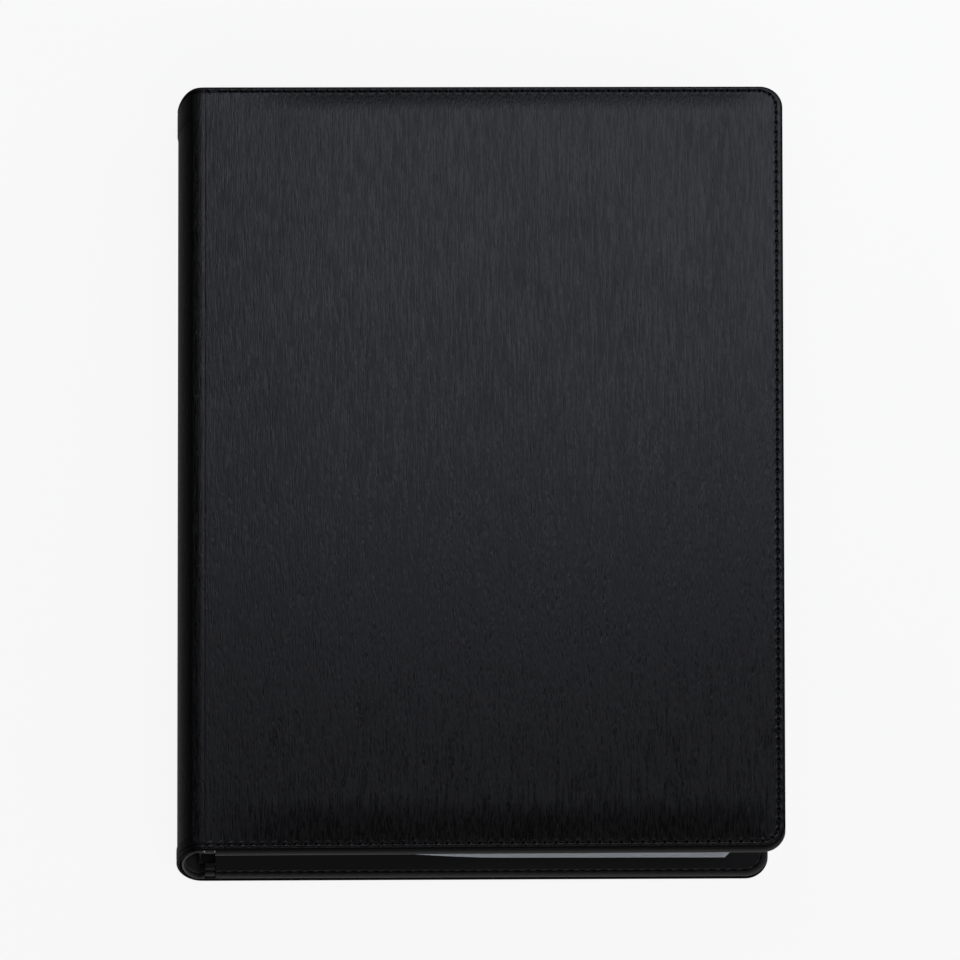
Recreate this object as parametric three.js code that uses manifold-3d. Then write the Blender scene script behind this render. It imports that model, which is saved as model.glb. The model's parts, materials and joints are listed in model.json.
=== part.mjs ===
// A padded display book for A4 sheets, closed and lying on its back cover.
// Each cover is a leather-look skin over foam and board, lined and stitched on three sides.
// The soft spine is a U of skin, stiffener and liner. The clear pockets are welded to a
// backing sheet that slides into the pocket of the back cover.
// X runs from the spine to the fore edge, Y from foot to head, Z up. Sizes are millimetres.
import * as THREE from 'three';
import { mergeVertices } from 'three/addons/utils/BufferGeometryUtils.js';
import Module from 'manifold-3d';

const wasm = await Module();
wasm.setup();

// The book as a whole
const BOOK_HEIGHT = 325; // foot to head
const BOOK_THICKNESS = 31; // rim of the back cover to rim of the front cover
const FRONT_REACH = 238; // outside of the spine to the fore edge of the front cover
const BACK_SHORTFALL = 6.8; // the back cover stops this far short of the front cover
const SPINE_DEPTH = 10.6; // outside of the spine to the creases
const CREASE_GAP = 0.6; // between the spine's pieces and the covers' pieces
const CORNER_RADIUS = 9; // outer corners of the covers
const TIGHTEST_CORNER = 3; // corners of what lies inside the covers

// The layers of a cover
const COVER_EDGE = 5; // both hems of a cover, pressed together
const SEAM_GAP = 0.3; // between the hem of the skin and the hem of the lining
const SKIN = 0.9;
const BOARD = 1.6;
const LINING = 0.6;
const POCKET = 0.6;
const POCKET_SLOT = 0.6; // room between the pocket and the lining
const FRONT_PADDING = 1.5;
const BACK_PADDING = 0.5;
const PADDING_EASE = 0.2; // between the foam and the skin
const PADDING_FALL = 24; // the padded face rises over this distance from the rim
const POCKET_START = 15; // outside of the spine to the mouth of a pocket

// Hems and stitching
const HEM_WIDTH = 5; // the folded edge of a sheet
const HEM_ROUND = 1; // the rounding of the folded edge
const STITCH_INSET = 2.1; // stitch line to the edge
const GROOVE_DEPTH = 0.45; // the stitches pull the sheet in
const GROOVE_HALF = 0.8;
const INNER_EASE = 0.6; // between a hem and the board, foam or lining inside it

// The spine
const STIFFENER = 0.8;
const SPINE_EASE = 0.3; // between the spine's curved layers
const HEM_PROUD = 0.3; // the spine's hems stand proud
const FOOT_HEM = 7; // length of the spine's hem at the foot
const HEAD_HEM = 12.8; // length of the spine's hem at the head
const HEM_TAPER = 0.8; // the proud hem and the folded edge end over this length
const HEAD_DRAW = 3.4; // the head of the spine is drawn in at the middle
const DRAW_POWER = 3.7;
const FLARE = THREE.MathUtils.degToRad(28); // the wall thickens over this turn to each crease

// The pockets and their backing sheet
const PAGE_HEIGHT = 308;
const PAGE_FOOT = 5.6; // foot of the covers to foot of the pockets
const TOP_LEAF_REACH = 220.6; // outside of the spine to the fore edge of the top pocket
const LOW_LEAF_REACH = 214.4;
const LEAF_COUNT = 14;
const LEAF = 0.45;
const LEAF_REST = 0.3; // between the outer pockets and the covers
const BOUND_BASE = 10.5; // floor to the welded edge of the lowest pocket
const BOUND_THICKNESS = 10;
const WELD_WIDTH = 4;
const DROOP = 1.1;
const BACKING = 0.5;
const BACKING_EASE = 0.05; // the backing sheet slides on the lining
const BACKING_REACH = 200; // outside of the spine to the end of the sheet in the pocket
const BACKING_BEND = 6; // radius of its bend up to the welded edge
const WELD_EASE = 0.3; // between the upright of the sheet and the pockets

// Steps along the round stretches
const CORNER_STEPS = 8;
const HEM_STEPS = 6;
const SPINE_STEPS = 26;
const LEAF_STEPS = 6;
const BEND_STEPS = 10;
const PADDING_STEPS = [0, 0.1, 0.25, 0.5, 0.75, 1];

// Places that follow from the sizes. Depths are measured from the outer face of a cover's rim.
const SKIN_HEM = (COVER_EDGE - SEAM_GAP) / 2;
const LINING_HEM = COVER_EDGE - SKIN_HEM;
const POCKET_DEPTH = COVER_EDGE - POCKET;
const LINING_INNER = POCKET_DEPTH - POCKET_SLOT;
const LINING_DEPTH = LINING_INNER - LINING;
const BOARD_DEPTH = LINING_DEPTH - BOARD;
const BOARD_INSET = HEM_WIDTH + INNER_EASE;
const PADDING_INSET = BOARD_INSET + INNER_EASE;
const SPINE_WALL = SKIN + SPINE_EASE + STIFFENER + SPINE_EASE + LINING;
const SPINE_SKIN_HEM = (SPINE_WALL - SEAM_GAP) / 2;
const CREASE_X = SPINE_DEPTH + HEM_PROUD - (FRONT_REACH + HEM_PROUD) / 2;

const crownOf = (padding) => padding + PADDING_EASE + SKIN - BOARD_DEPTH;
const front = { name: 'front', reach: FRONT_REACH - SPINE_DEPTH, padding: FRONT_PADDING, inward: -1 };
const back = {
  name: 'back', reach: FRONT_REACH - BACK_SHORTFALL - SPINE_DEPTH, padding: BACK_PADDING, inward: 1,
};
const FLOOR_RISE = Math.max(crownOf(BACK_PADDING), 0); // lifts the rims if the back is crowned

const leather = new THREE.MeshStandardMaterial({ color: 0x303135, roughness: 0.45, metalness: 0 });
const foam = new THREE.MeshStandardMaterial({ color: 0x8d8f94, roughness: 0.95, metalness: 0 });
const greyboard = new THREE.MeshStandardMaterial({ color: 0x8b8478, roughness: 0.9, metalness: 0 });
const lining = new THREE.MeshStandardMaterial({ color: 0x1e1f22, roughness: 0.6, metalness: 0 });
const blackSheet = new THREE.MeshStandardMaterial({ color: 0x141416, roughness: 0.35, metalness: 0 });
const clearFilm = new THREE.MeshStandardMaterial({ color: 0xb9bfc8, roughness: 0.25, metalness: 0 });

const lerp = THREE.MathUtils.lerp;

// A mesh needs shared corners, and faces that point out, to be a solid.
function closedGeometry(points, triangles) {
  const geometry = new THREE.BufferGeometry();
  geometry.setAttribute('position', new THREE.Float32BufferAttribute(points.flatMap((p) => p.toArray()), 3));
  let volume = 0;
  for (const [a, b, c] of triangles) {
    volume += points[a].dot(new THREE.Vector3().crossVectors(points[b], points[c]));
  }
  geometry.setIndex(triangles.flatMap(([a, b, c]) => (volume > 0 ? [a, b, c] : [a, c, b])));
  geometry.computeVertexNormals();
  return geometry;
}

// Rings of equally many points are joined in turn, and the first and last are capped.
// The flat function gives a ring's points in the plane in which its cap is triangulated.
function loft(rings, flat) {
  const count = rings[0].length;
  const triangles = [];
  for (let ring = 0; ring < rings.length - 1; ring += 1) {
    for (let i = 0; i < count; i += 1) {
      const a = ring * count + i;
      const b = ring * count + ((i + 1) % count);
      triangles.push([a, b, b + count], [a, b + count, a + count]);
    }
  }
  const contour = rings[0].map(flat);
  const turn = Math.sign(THREE.ShapeUtils.area(contour));
  for (const [first, side] of [[0, -1], [(rings.length - 1) * count, 1]]) {
    const cap = rings[first / count].map(flat);
    for (const [a, b, c] of THREE.ShapeUtils.triangulateShape(cap, [])) {
      const sense = Math.sign(THREE.ShapeUtils.area([cap[a], cap[b], cap[c]])) * turn * side;
      triangles.push(sense > 0 ? [first + a, first + b, first + c] : [first + a, first + c, first + b]);
    }
  }
  return closedGeometry(rings.flat(), triangles);
}

const seenFromAbove = (point) => new THREE.Vector2(point.x, point.y);
const seenFromFoot = (point) => new THREE.Vector2(point.x, point.z);

function toSolid(geometry) {
  const bare = geometry.clone();
  bare.deleteAttribute('normal');
  bare.deleteAttribute('uv');
  const merged = mergeVertices(bare, 1e-4);
  return new wasm.Manifold(new wasm.Mesh({
    numProp: 3,
    vertProperties: Float32Array.from(merged.attributes.position.array),
    triVerts: Uint32Array.from(merged.index.array),
  }));
}

function fromSolid(solid) {
  const mesh = solid.getMesh();
  const geometry = new THREE.BufferGeometry();
  geometry.setAttribute('position', new THREE.BufferAttribute(Float32Array.from(mesh.vertProperties), 3));
  geometry.setIndex(new THREE.BufferAttribute(Uint32Array.from(mesh.triVerts), 1));
  geometry.computeVertexNormals();
  return geometry;
}

function boxBetween(low, high) {
  const size = new THREE.Vector3().subVectors(high, low);
  const geometry = new THREE.BoxGeometry(size.x, size.y, size.z);
  geometry.translate(...new THREE.Vector3().addVectors(low, high).multiplyScalar(0.5).toArray());
  return toSolid(geometry);
}

function named(name, geometry, material) {
  const mesh = new THREE.Mesh(geometry, material);
  mesh.name = name;
  return mesh;
}

// The covers. Each is made about its crease: x runs to the fore edge, z = 0 is the rim's outer face.

// The outline of a cover, drawn in by an inset. Its spine side starts a hem's width past the
// crease, so that the hem there is cut off, and the sheets run flat into the crease.
function coverOutline(cover, inset) {
  const left = inset - HEM_WIDTH;
  const side = BOOK_HEIGHT / 2 - inset;
  const radius = Math.max(CORNER_RADIUS - inset, TIGHTEST_CORNER);
  const centreX = cover.reach - inset - radius;
  const points = [new THREE.Vector2(left, -side)];
  for (const [centreY, start] of [[radius - side, -Math.PI / 2], [side - radius, 0]]) {
    for (let i = 0; i <= CORNER_STEPS; i += 1) {
      const angle = start + (i / CORNER_STEPS) * (Math.PI / 2);
      points.push(new THREE.Vector2(centreX + radius * Math.cos(angle), centreY + radius * Math.sin(angle)));
    }
  }
  points.push(new THREE.Vector2(left, side));
  return points;
}

function coverRing(cover, inset, depth) {
  return coverOutline(cover, inset).map((p) => new THREE.Vector3(p.x, p.y, cover.inward * depth));
}

// The height of the padded face at a step from the rim to the flat of the cover
const crownAt = (cover, step) => crownOf(cover.padding) * Math.sin(step * (Math.PI / 2));
const insetAt = (step) => lerp(HEM_WIDTH, PADDING_FALL, step);

// A sheet with a thick, rounded hem round its edge and a stitch groove in its exposed side.
// The exposed and hidden functions give the depth of the sheet's two faces at a step.
function hemmedSheet(cover, hemExposed, hemHidden, exposed, hidden, steps) {
  const intoHem = Math.sign(hemHidden - hemExposed) * GROOVE_DEPTH;
  const middle = (hemExposed + hemHidden) / 2;
  const profile = [...steps].reverse().map((step) => [insetAt(step), exposed(step)]);
  if (exposed(0) !== hemExposed) profile.push([HEM_WIDTH, hemExposed]);
  profile.push([STITCH_INSET + GROOVE_HALF, hemExposed]);
  profile.push([STITCH_INSET, hemExposed + intoHem]);
  profile.push([STITCH_INSET - GROOVE_HALF, hemExposed]);
  for (let i = 0; i <= HEM_STEPS; i += 1) {
    const turn = (i / HEM_STEPS) * Math.PI;
    profile.push([HEM_ROUND * (1 - Math.sin(turn)), middle + (hemExposed - middle) * Math.cos(turn)]);
  }
  profile.push([HEM_WIDTH, hemHidden]);
  steps.forEach((step) => profile.push([insetAt(step), hidden(step)]));
  const rings = profile.map(([inset, depth]) => coverRing(cover, inset, depth));
  return toSolid(loft(rings, seenFromAbove));
}

// What lies between two distances from the crease
function slab(from, to) {
  const reach = BOOK_HEIGHT;
  return boxBetween(new THREE.Vector3(from, -reach, -reach), new THREE.Vector3(to, reach, reach));
}

const pastCrease = slab(CREASE_GAP / 2, FRONT_REACH);

function skin(cover) {
  const outer = (step) => -crownAt(cover, step);
  const inner = (step) => SKIN - crownAt(cover, step);
  const sheet = hemmedSheet(cover, 0, SKIN_HEM, outer, inner, PADDING_STEPS);
  return named(`${cover.name}_skin`, fromSolid(sheet.intersect(pastCrease)), leather);
}

// The foam fills the room between the board and the skin.
function padding(cover) {
  const under = (step) => SKIN + PADDING_EASE - crownAt(cover, step);
  const first = (PADDING_INSET - HEM_WIDTH) / (PADDING_FALL - HEM_WIDTH);
  const steps = [first, ...PADDING_STEPS.filter((step) => step > first)];
  const rings = [coverRing(cover, PADDING_INSET, BOARD_DEPTH)];
  steps.forEach((step) => rings.push(coverRing(cover, insetAt(step), under(step))));
  return named(`${cover.name}_padding`, loft(rings, seenFromAbove), foam);
}

function plate(cover, inset, depth, thickness) {
  const shape = new THREE.Shape(coverOutline(cover, inset));
  const geometry = new THREE.ExtrudeGeometry(shape, { depth: thickness, bevelEnabled: false });
  geometry.translate(0, 0, cover.inward > 0 ? depth : -depth - thickness);
  return toSolid(geometry);
}

function board(cover) {
  return named(`${cover.name}_board`, fromSolid(plate(cover, BOARD_INSET, BOARD_DEPTH, BOARD)), greyboard);
}

// The lining lies under the pocket, and shows, with its own hems, between crease and pocket.
function coverLining(cover) {
  const flat = [0];
  const sheet = hemmedSheet(cover, COVER_EDGE, LINING_HEM, () => LINING_INNER, () => LINING_DEPTH, flat);
  const strip = slab(CREASE_GAP / 2, POCKET_START - SPINE_DEPTH - SEAM_GAP);
  const within = plate(cover, BOARD_INSET, 0, COVER_EDGE);
  const lined = sheet.intersect(strip.add(within)).intersect(pastCrease);
  return named(`${cover.name}_lining`, fromSolid(lined), lining);
}

function pocket(cover) {
  const flat = [0];
  const sheet = hemmedSheet(cover, COVER_EDGE, LINING_HEM, () => COVER_EDGE, () => POCKET_DEPTH, flat);
  const mouth = slab(POCKET_START - SPINE_DEPTH, FRONT_REACH);
  return named(`${cover.name}_pocket`, fromSolid(sheet.intersect(mouth)), lining);
}

function coverPieces(cover) {
  return [skin(cover), padding(cover), board(cover), coverLining(cover), pocket(cover)];
}

// The spine. Its outside is half an ellipse from the upper crease to the lower one.

// A point of the spine's wall at a turn from the upper crease, some depth under the outside
function spinePoint(turn, depth, y) {
  const rise = BOOK_THICKNESS / 2;
  const across = new THREE.Vector2(-SPINE_DEPTH * Math.sin(turn), rise * Math.cos(turn));
  const out = new THREE.Vector2(-rise * Math.sin(turn), SPINE_DEPTH * Math.cos(turn)).normalize();
  across.addScaledVector(out, -depth);
  const towardsHead = (y + BOOK_HEIGHT / 2) / BOOK_HEIGHT;
  const drawn = HEAD_DRAW * Math.sin(turn) ** DRAW_POWER * towardsHead;
  return new THREE.Vector3(across.x, y - drawn, rise + across.y);
}

// 1 at the creases, where the wall is as thick as a cover, and 0 round the middle
function flareAt(turn) {
  const away = Math.min(turn, Math.PI - turn) / FLARE;
  return away < 1 ? (1 + Math.cos(Math.PI * away)) / 2 : 0;
}

// One cross-section of a layer of the spine, between two depths that may change round the turn
function spineRing(y, outer, inner, firstTurn) {
  const outside = [];
  const inside = [];
  for (let i = 0; i <= SPINE_STEPS; i += 1) {
    const turn = lerp(firstTurn, Math.PI - firstTurn, i / SPINE_STEPS);
    outside.push(spinePoint(turn, outer(turn), y));
    inside.unshift(spinePoint(turn, inner(turn), y));
  }
  return [...outside, ...inside];
}

// Cross-sections from one end inwards. An opening of 1 has the whole thickness of the hem,
// fold is 1 in the hem and 0 past it, and proud is 1 where the hem stands proud.
function hemStations(hemLength) {
  const stations = [];
  for (const part of [0.1, 0.4, 0.7, 1]) {
    const turn = part * (Math.PI / 2);
    stations.push({ from: HEM_ROUND * (1 - Math.cos(turn)), opening: Math.sin(turn), groove: 0, fold: 1, proud: 1 });
  }
  const whole = { opening: 1, groove: 0, fold: 1, proud: 1 };
  stations.push({ ...whole, from: STITCH_INSET - GROOVE_HALF });
  stations.push({ ...whole, from: STITCH_INSET, groove: 1 });
  stations.push({ ...whole, from: STITCH_INSET + GROOVE_HALF });
  stations.push({ ...whole, from: HEM_WIDTH });
  stations.push({ ...whole, from: HEM_WIDTH + HEM_TAPER, fold: 0 });
  stations.push({ ...whole, from: hemLength, fold: 0 });
  stations.push({ ...whole, from: hemLength + HEM_TAPER, fold: 0, proud: 0 });
  return stations;
}

// A layer of the spine with a hem at each end. Each depth is given for the sheet and the hem.
function spineLayer(sheetOuter, sheetInner, hemOuter, hemInner, exposedOutside) {
  const firstTurn = Math.asin(CREASE_GAP / 2 / SPINE_DEPTH);
  const section = (station, y) => {
    const outer = (turn) => {
      const flush = lerp(sheetOuter(turn), hemOuter(turn), station.fold);
      const lift = exposedOutside ? station.proud * HEM_PROUD * Math.sin(turn) ** 2 : 0;
      return flush - lift + (exposedOutside ? station.groove * GROOVE_DEPTH : 0);
    };
    const inner = (turn) => {
      const flush = lerp(sheetInner(turn), hemInner(turn), station.fold);
      return flush - (exposedOutside ? 0 : station.groove * GROOVE_DEPTH);
    };
    const middle = (turn) => (outer(turn) + inner(turn)) / 2;
    const openedOuter = (turn) => lerp(middle(turn), outer(turn), station.opening);
    const openedInner = (turn) => lerp(middle(turn), inner(turn), station.opening);
    return spineRing(y, openedOuter, openedInner, firstTurn);
  };
  const half = BOOK_HEIGHT / 2;
  const foot = hemStations(FOOT_HEM).map((station) => section(station, station.from - half));
  const head = hemStations(HEAD_HEM).map((station) => section(station, half - station.from)).reverse();
  return loft([...foot, ...head], seenFromFoot);
}

function spineSkin() {
  const sheet = () => SKIN;
  const hem = (turn) => lerp(SPINE_SKIN_HEM, SKIN_HEM, flareAt(turn));
  return named('spine_skin', spineLayer(() => 0, sheet, () => 0, hem, true), leather);
}

function spineLiner() {
  const hemOuter = (turn) => lerp(SPINE_WALL - SPINE_SKIN_HEM, LINING_HEM, flareAt(turn));
  const hemInner = (turn) => lerp(SPINE_WALL, COVER_EDGE, flareAt(turn));
  const outer = (turn) => lerp(SPINE_WALL - LINING, LINING_DEPTH, flareAt(turn));
  const inner = (turn) => outer(turn) + LINING;
  return named('spine_liner', spineLayer(outer, inner, hemOuter, hemInner, false), lining);
}

// The stiffener lies between skin and liner, clear of the hems and of the creases.
function spineStiffener() {
  const outer = () => SKIN + SPINE_EASE;
  const inner = () => SKIN + SPINE_EASE + STIFFENER;
  const half = BOOK_HEIGHT / 2 - HEM_WIDTH - HEM_TAPER - INNER_EASE;
  const rings = [-half, half].map((y) => spineRing(y, outer, inner, FLARE / 2));
  return named('spine_stiffener', loft(rings, seenFromFoot), blackSheet);
}

// The pockets and the backing sheet, in the back cover's frame

const PAGE_MIDDLE = PAGE_FOOT + PAGE_HEIGHT / 2 - BOOK_HEIGHT / 2;

function extrudedAlongSpine(points) {
  const geometry = new THREE.ExtrudeGeometry(new THREE.Shape(points), { depth: PAGE_HEIGHT, bevelEnabled: false });
  geometry.rotateX(Math.PI / 2);
  geometry.translate(0, PAGE_MIDDLE + PAGE_HEIGHT / 2, 0);
  return geometry;
}

// The sheet lies in the back cover's pocket, leaves its mouth and turns up behind the welds.
const SHEET_LOW = LINING_INNER + BACKING_EASE;
const SHEET_TURN_X = POCKET_START - SPINE_DEPTH;
const UPRIGHT_X = SHEET_TURN_X - BACKING_BEND;
const BOUND_TOP = BOUND_BASE + BOUND_THICKNESS;

function backingSheet() {
  const centreZ = SHEET_LOW + BACKING / 2 + BACKING_BEND;
  const path = new THREE.Path();
  path.moveTo(BACKING_REACH - SPINE_DEPTH, SHEET_LOW);
  path.absarc(SHEET_TURN_X, centreZ, BACKING_BEND + BACKING / 2, -Math.PI / 2, -Math.PI, true);
  path.lineTo(UPRIGHT_X - BACKING / 2, BOUND_TOP);
  path.lineTo(UPRIGHT_X + BACKING / 2, BOUND_TOP);
  path.absarc(SHEET_TURN_X, centreZ, BACKING_BEND - BACKING / 2, -Math.PI, -Math.PI / 2, false);
  path.lineTo(BACKING_REACH - SPINE_DEPTH, SHEET_LOW + BACKING);
  return named('backing_sheet', extrudedAlongSpine(path.getPoints(BEND_STEPS)), blackSheet);
}

// The pockets are one comb: welded along the spine, they fan out to fill the room between
// the covers, and the lowest droops on to the back cover.
function pageBlock() {
  const startX = UPRIGHT_X + BACKING / 2 + WELD_EASE;
  const rootX = startX + WELD_WIDTH;
  const low = COVER_EDGE + LEAF_REST;
  const high = BOOK_THICKNESS - COVER_EDGE - LEAF_REST;
  const points = [new THREE.Vector2(startX, BOUND_BASE)];
  for (let leaf = 0; leaf < LEAF_COUNT; leaf += 1) {
    const share = leaf / (LEAF_COUNT - 1);
    const bound = lerp(BOUND_BASE, BOUND_TOP - LEAF, share);
    const free = lerp(low, high - LEAF, share);
    const reach = lerp(LOW_LEAF_REACH, TOP_LEAF_REACH, Math.min(2 * share, 1)) - SPINE_DEPTH;
    const at = (step) => new THREE.Vector2(lerp(rootX, reach, step), lerp(bound, free, 1 - (1 - step) ** DROOP));
    const lower = [];
    for (let i = 0; i <= LEAF_STEPS; i += 1) lower.push(at(i / LEAF_STEPS));
    const upper = lower.map((p) => new THREE.Vector2(p.x, p.y + LEAF)).reverse();
    points.push(...lower, ...upper);
  }
  points.push(new THREE.Vector2(startX, BOUND_TOP));
  return named('page_block', extrudedAlongSpine(points), clearFilm);
}

// The book, put together
const book = new THREE.Group();

const backCover = new THREE.Group();
backCover.position.set(CREASE_X, 0, FLOOR_RISE);
backCover.add(...coverPieces(back), backingSheet(), pageBlock());

const spine = new THREE.Group();
spine.position.set(CREASE_X, 0, FLOOR_RISE);
spine.add(spineSkin(), spineStiffener(), spineLiner());

const frontCover = new THREE.Group();
frontCover.position.set(CREASE_X, 0, FLOOR_RISE + BOOK_THICKNESS);
frontCover.add(...coverPieces(front));

book.add(backCover, spine, frontCover);

export default book;
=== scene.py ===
"""Dresses the closed display book: brushed leather-cloth covers with stitched hems, a soft spine and
clear pockets."""

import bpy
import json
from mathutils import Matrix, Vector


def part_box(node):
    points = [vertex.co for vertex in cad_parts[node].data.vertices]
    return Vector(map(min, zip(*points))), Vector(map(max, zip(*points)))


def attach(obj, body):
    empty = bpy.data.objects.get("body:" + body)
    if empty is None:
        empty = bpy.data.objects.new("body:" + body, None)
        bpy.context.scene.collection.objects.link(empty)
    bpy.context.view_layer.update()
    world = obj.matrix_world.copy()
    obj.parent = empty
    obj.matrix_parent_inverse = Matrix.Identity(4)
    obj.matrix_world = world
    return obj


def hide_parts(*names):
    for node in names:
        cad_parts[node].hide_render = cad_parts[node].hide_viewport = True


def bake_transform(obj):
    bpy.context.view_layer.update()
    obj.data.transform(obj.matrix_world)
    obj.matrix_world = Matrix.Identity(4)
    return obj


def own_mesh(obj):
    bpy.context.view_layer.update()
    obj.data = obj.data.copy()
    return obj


bl_info = {
    "name": "Display Book",
    "version": (1, 0, 0),
    "blender": (4, 5, 0),
    "location": "View3D > Sidebar > Display Book",
    "description": "Builds the covers, spine, stitching and pockets of a padded display book, and its studio",
    "category": "Object",
}

import json
import math

import bpy
import numpy as np
from mathutils import Matrix, Vector

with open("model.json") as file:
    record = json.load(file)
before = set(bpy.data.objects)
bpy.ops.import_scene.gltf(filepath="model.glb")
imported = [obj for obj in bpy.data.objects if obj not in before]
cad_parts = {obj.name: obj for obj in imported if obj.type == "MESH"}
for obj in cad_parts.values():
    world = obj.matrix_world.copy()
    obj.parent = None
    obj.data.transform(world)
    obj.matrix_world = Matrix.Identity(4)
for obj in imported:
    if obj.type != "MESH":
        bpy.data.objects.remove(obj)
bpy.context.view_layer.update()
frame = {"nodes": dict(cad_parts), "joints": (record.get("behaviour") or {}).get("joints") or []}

MM = 0.001

# Places read from the frame, in millimetres: the creases, the covers' reach, the rims and the ends
JOINT_AT = {joint["name"]: [value / MM for value in joint["pos_m"]] for joint in frame["joints"]}
CREASE_X = JOINT_AT["front_crease"][0]
BACK_RIM_Z = JOINT_AT["back_crease"][2]
FRONT_RIM_Z = JOINT_AT["front_crease"][2]
BOOK_THICKNESS = FRONT_RIM_Z - BACK_RIM_Z
HALF_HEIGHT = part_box("front_skin")[1].y / MM
FRONT_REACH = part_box("front_skin")[1].x / MM - CREASE_X
BACK_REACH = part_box("back_skin")[1].x / MM - CREASE_X
FRONT_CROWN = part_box("front_skin")[1].z / MM - FRONT_RIM_Z
COVER_EDGE = FRONT_RIM_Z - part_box("front_pocket")[0].z / MM
SKIN_HEM = FRONT_RIM_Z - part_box("front_skin")[0].z / MM
POCKET_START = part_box("front_pocket")[0].x / MM - CREASE_X
LINING_HEM = FRONT_RIM_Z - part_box("front_pocket")[1].z / MM
HEM_PROUD = 0.3
SPINE_DEPTH = CREASE_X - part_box("spine_skin")[0].x / MM - HEM_PROUD


def linear(hex_colour):
    """An sRGB hex colour as linear red, green and blue."""
    values = [int(hex_colour[i:i + 2], 16) / 255 for i in (1, 3, 5)]
    return tuple(v / 12.92 if v <= 0.04045 else ((v + 0.055) / 1.055) ** 2.4 for v in values)


def length_property(name, description, default):
    """A length in millimetres, kept in metres."""
    return bpy.props.FloatProperty(name=name, description=description, default=default * MM,
                                   min=0.0, precision=5, unit="LENGTH")


def colour_property(name, description, hex_colour):
    """A colour, given as sRGB hex and kept linear."""
    return bpy.props.FloatVectorProperty(name=name, description=description, default=linear(hex_colour),
                                         min=0.0, max=1.0, size=3, subtype="COLOR")


class BookSizes(bpy.types.PropertyGroup):
    """The sizes of hems, stitches and padding."""
    hem_width: length_property("Hem width", "Width of the folded edge of a sheet", 5.0)
    hem_round: length_property("Hem rounding", "Rounding of the folded edge, seen from above", 1.3)
    skin: length_property("Skin", "Thickness of the outer leather cloth", 0.9)
    pocket: length_property("Pocket sheet", "Thickness of the inside pocket", 0.6)
    lining: length_property("Lining", "Thickness of the lining", 0.6)
    stitch_inset: length_property("Stitch inset", "Edge of the cover to the stitch line", 2.1)
    stitch_pitch: length_property("Stitch pitch", "Needle hole to needle hole", 4.25)
    stitch_start: length_property("Stitch start", "Crease to the first needle hole", 1.6)
    thread: length_property("Thread", "Diameter of the sewing thread", 0.42)
    groove_depth: length_property("Groove depth", "How far the stitches pull the hem in", 0.3)
    groove_half: length_property("Groove half width", "Half the width of the stitch groove", 0.42)
    hole_depth: length_property("Hole depth", "Depth of the dimple at a needle hole", 0.4)
    hole_half: length_property("Hole half width", "Half the width of that dimple", 0.36)
    pucker: length_property("Pucker", "Height of the cloth raised round a needle hole", 0.13)
    corner_radius: length_property("Corner radius", "Radius of the covers' corners", 9.0)
    swell_inset: length_property("Swell inset", "The face swells from this far inside the edge", 2.8)
    foot_skew: length_property("Foot skew", "The front's foot edge rises this much to the fore edge", 1.2)
    foot_lap: length_property("Foot lap", "The back's foot edge reaches this much further at the crease", 0.9)
    pocket_lap: length_property("Pocket lap", "The front pocket's foot reaches this far past the skin's", 0.9)
    fore_stitch: length_property("Fore stitch", "The fore edge is sewn this much further in", 0.5)
    puff: length_property("Puff", "The foam swells the front cover this much above its plain form", 0.7)
    foot_fall: length_property("Foot fall", "The padded face falls over this distance", 21.0)
    head_fall: length_property("Head fall", "The padded face falls over this distance", 14.0)
    fore_fall: length_property("Fore edge fall", "The padded face falls over this distance", 24.0)
    spine_fall: length_property("Crease fall", "The padded face falls over this distance", 60.0)
    crease_depth: length_property("Crease depth", "Depth of the valley along a crease", 0.12)
    crease_half: length_property("Crease half width", "Half the width of that valley", 0.4)
    head_draw: length_property("Head draw", "How far the head of the spine is drawn in", 3.4)
    head_hem: length_property("Head hem", "Length of the spine's hem at the head", 12.8)
    foot_hem: length_property("Foot hem", "Length of the spine's hem at the foot", 7.0)
    hem_proud: length_property("Hem proud", "How far the spine's hems stand proud", HEM_PROUD)
    leaf: length_property("Leaf", "Thickness of a clear pocket with its insert", 0.3)
    film_margin: length_property("Film margin", "The clear pocket reaches this far past its insert", 2.5)
    hinge_lining: length_property("Hinge lining", "Thickness of the strip inside a crease", 0.35)


class BookColours(bpy.types.PropertyGroup):
    """The colours of the book and of the studio."""
    skin: colour_property("Skin", "Brushed leather cloth", "#050506")
    lining: colour_property("Lining", "Smooth leather cloth", "#242426")
    thread: colour_property("Thread", "Polyester sewing thread", "#050505")
    sheet: colour_property("Backing sheet", "Black polypropylene", "#101011")
    film: colour_property("Film edges", "Clear polypropylene film, seen on edge", "#808792")
    insert: colour_property("Inserts", "Black sheets in the pockets", "#0c0c0d")
    foam: colour_property("Foam", "Padding inside the covers", "#8d8f94")
    board: colour_property("Board", "Greyboard inside the covers", "#8b8478")
    floor: colour_property("Floor", "Plain pale floor", "#fafafa")


def sizes():
    """The sizes in millimetres, by name."""
    group = bpy.context.scene.book_sizes
    return {key: getattr(group, key) / MM for key in BookSizes.__annotations__}


def colours():
    """The colours of the book and of the studio."""
    return bpy.context.scene.book_colours


# Nodes and materials. A grain's size is its width and its length in millimetres.

STREAK_SIZE = (0.55, 10.0)
FIBRE_SIZE = (0.3, 3.0)
CLOUD_SIZE = (30.0, 60.0)
STREAK_ROUGHNESS = (0.24, 0.43)
CLOUD_ROUGHNESS = 0.015
BRUSHED_DEPTH = 0.15
PEBBLE_SIZE = 0.7
PLY_SIZE = 0.45
RIPPLE_SIZE = (1.2, 3.0)
PAPER_SIZE = (0.4, 0.4)
# Normal slopes over which the leather turns into its near-matt copy: painted shade on the turned edges and
# the spine
FACE_SLOPE = 0.985
EDGE_SLOPE = 0.8


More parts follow.
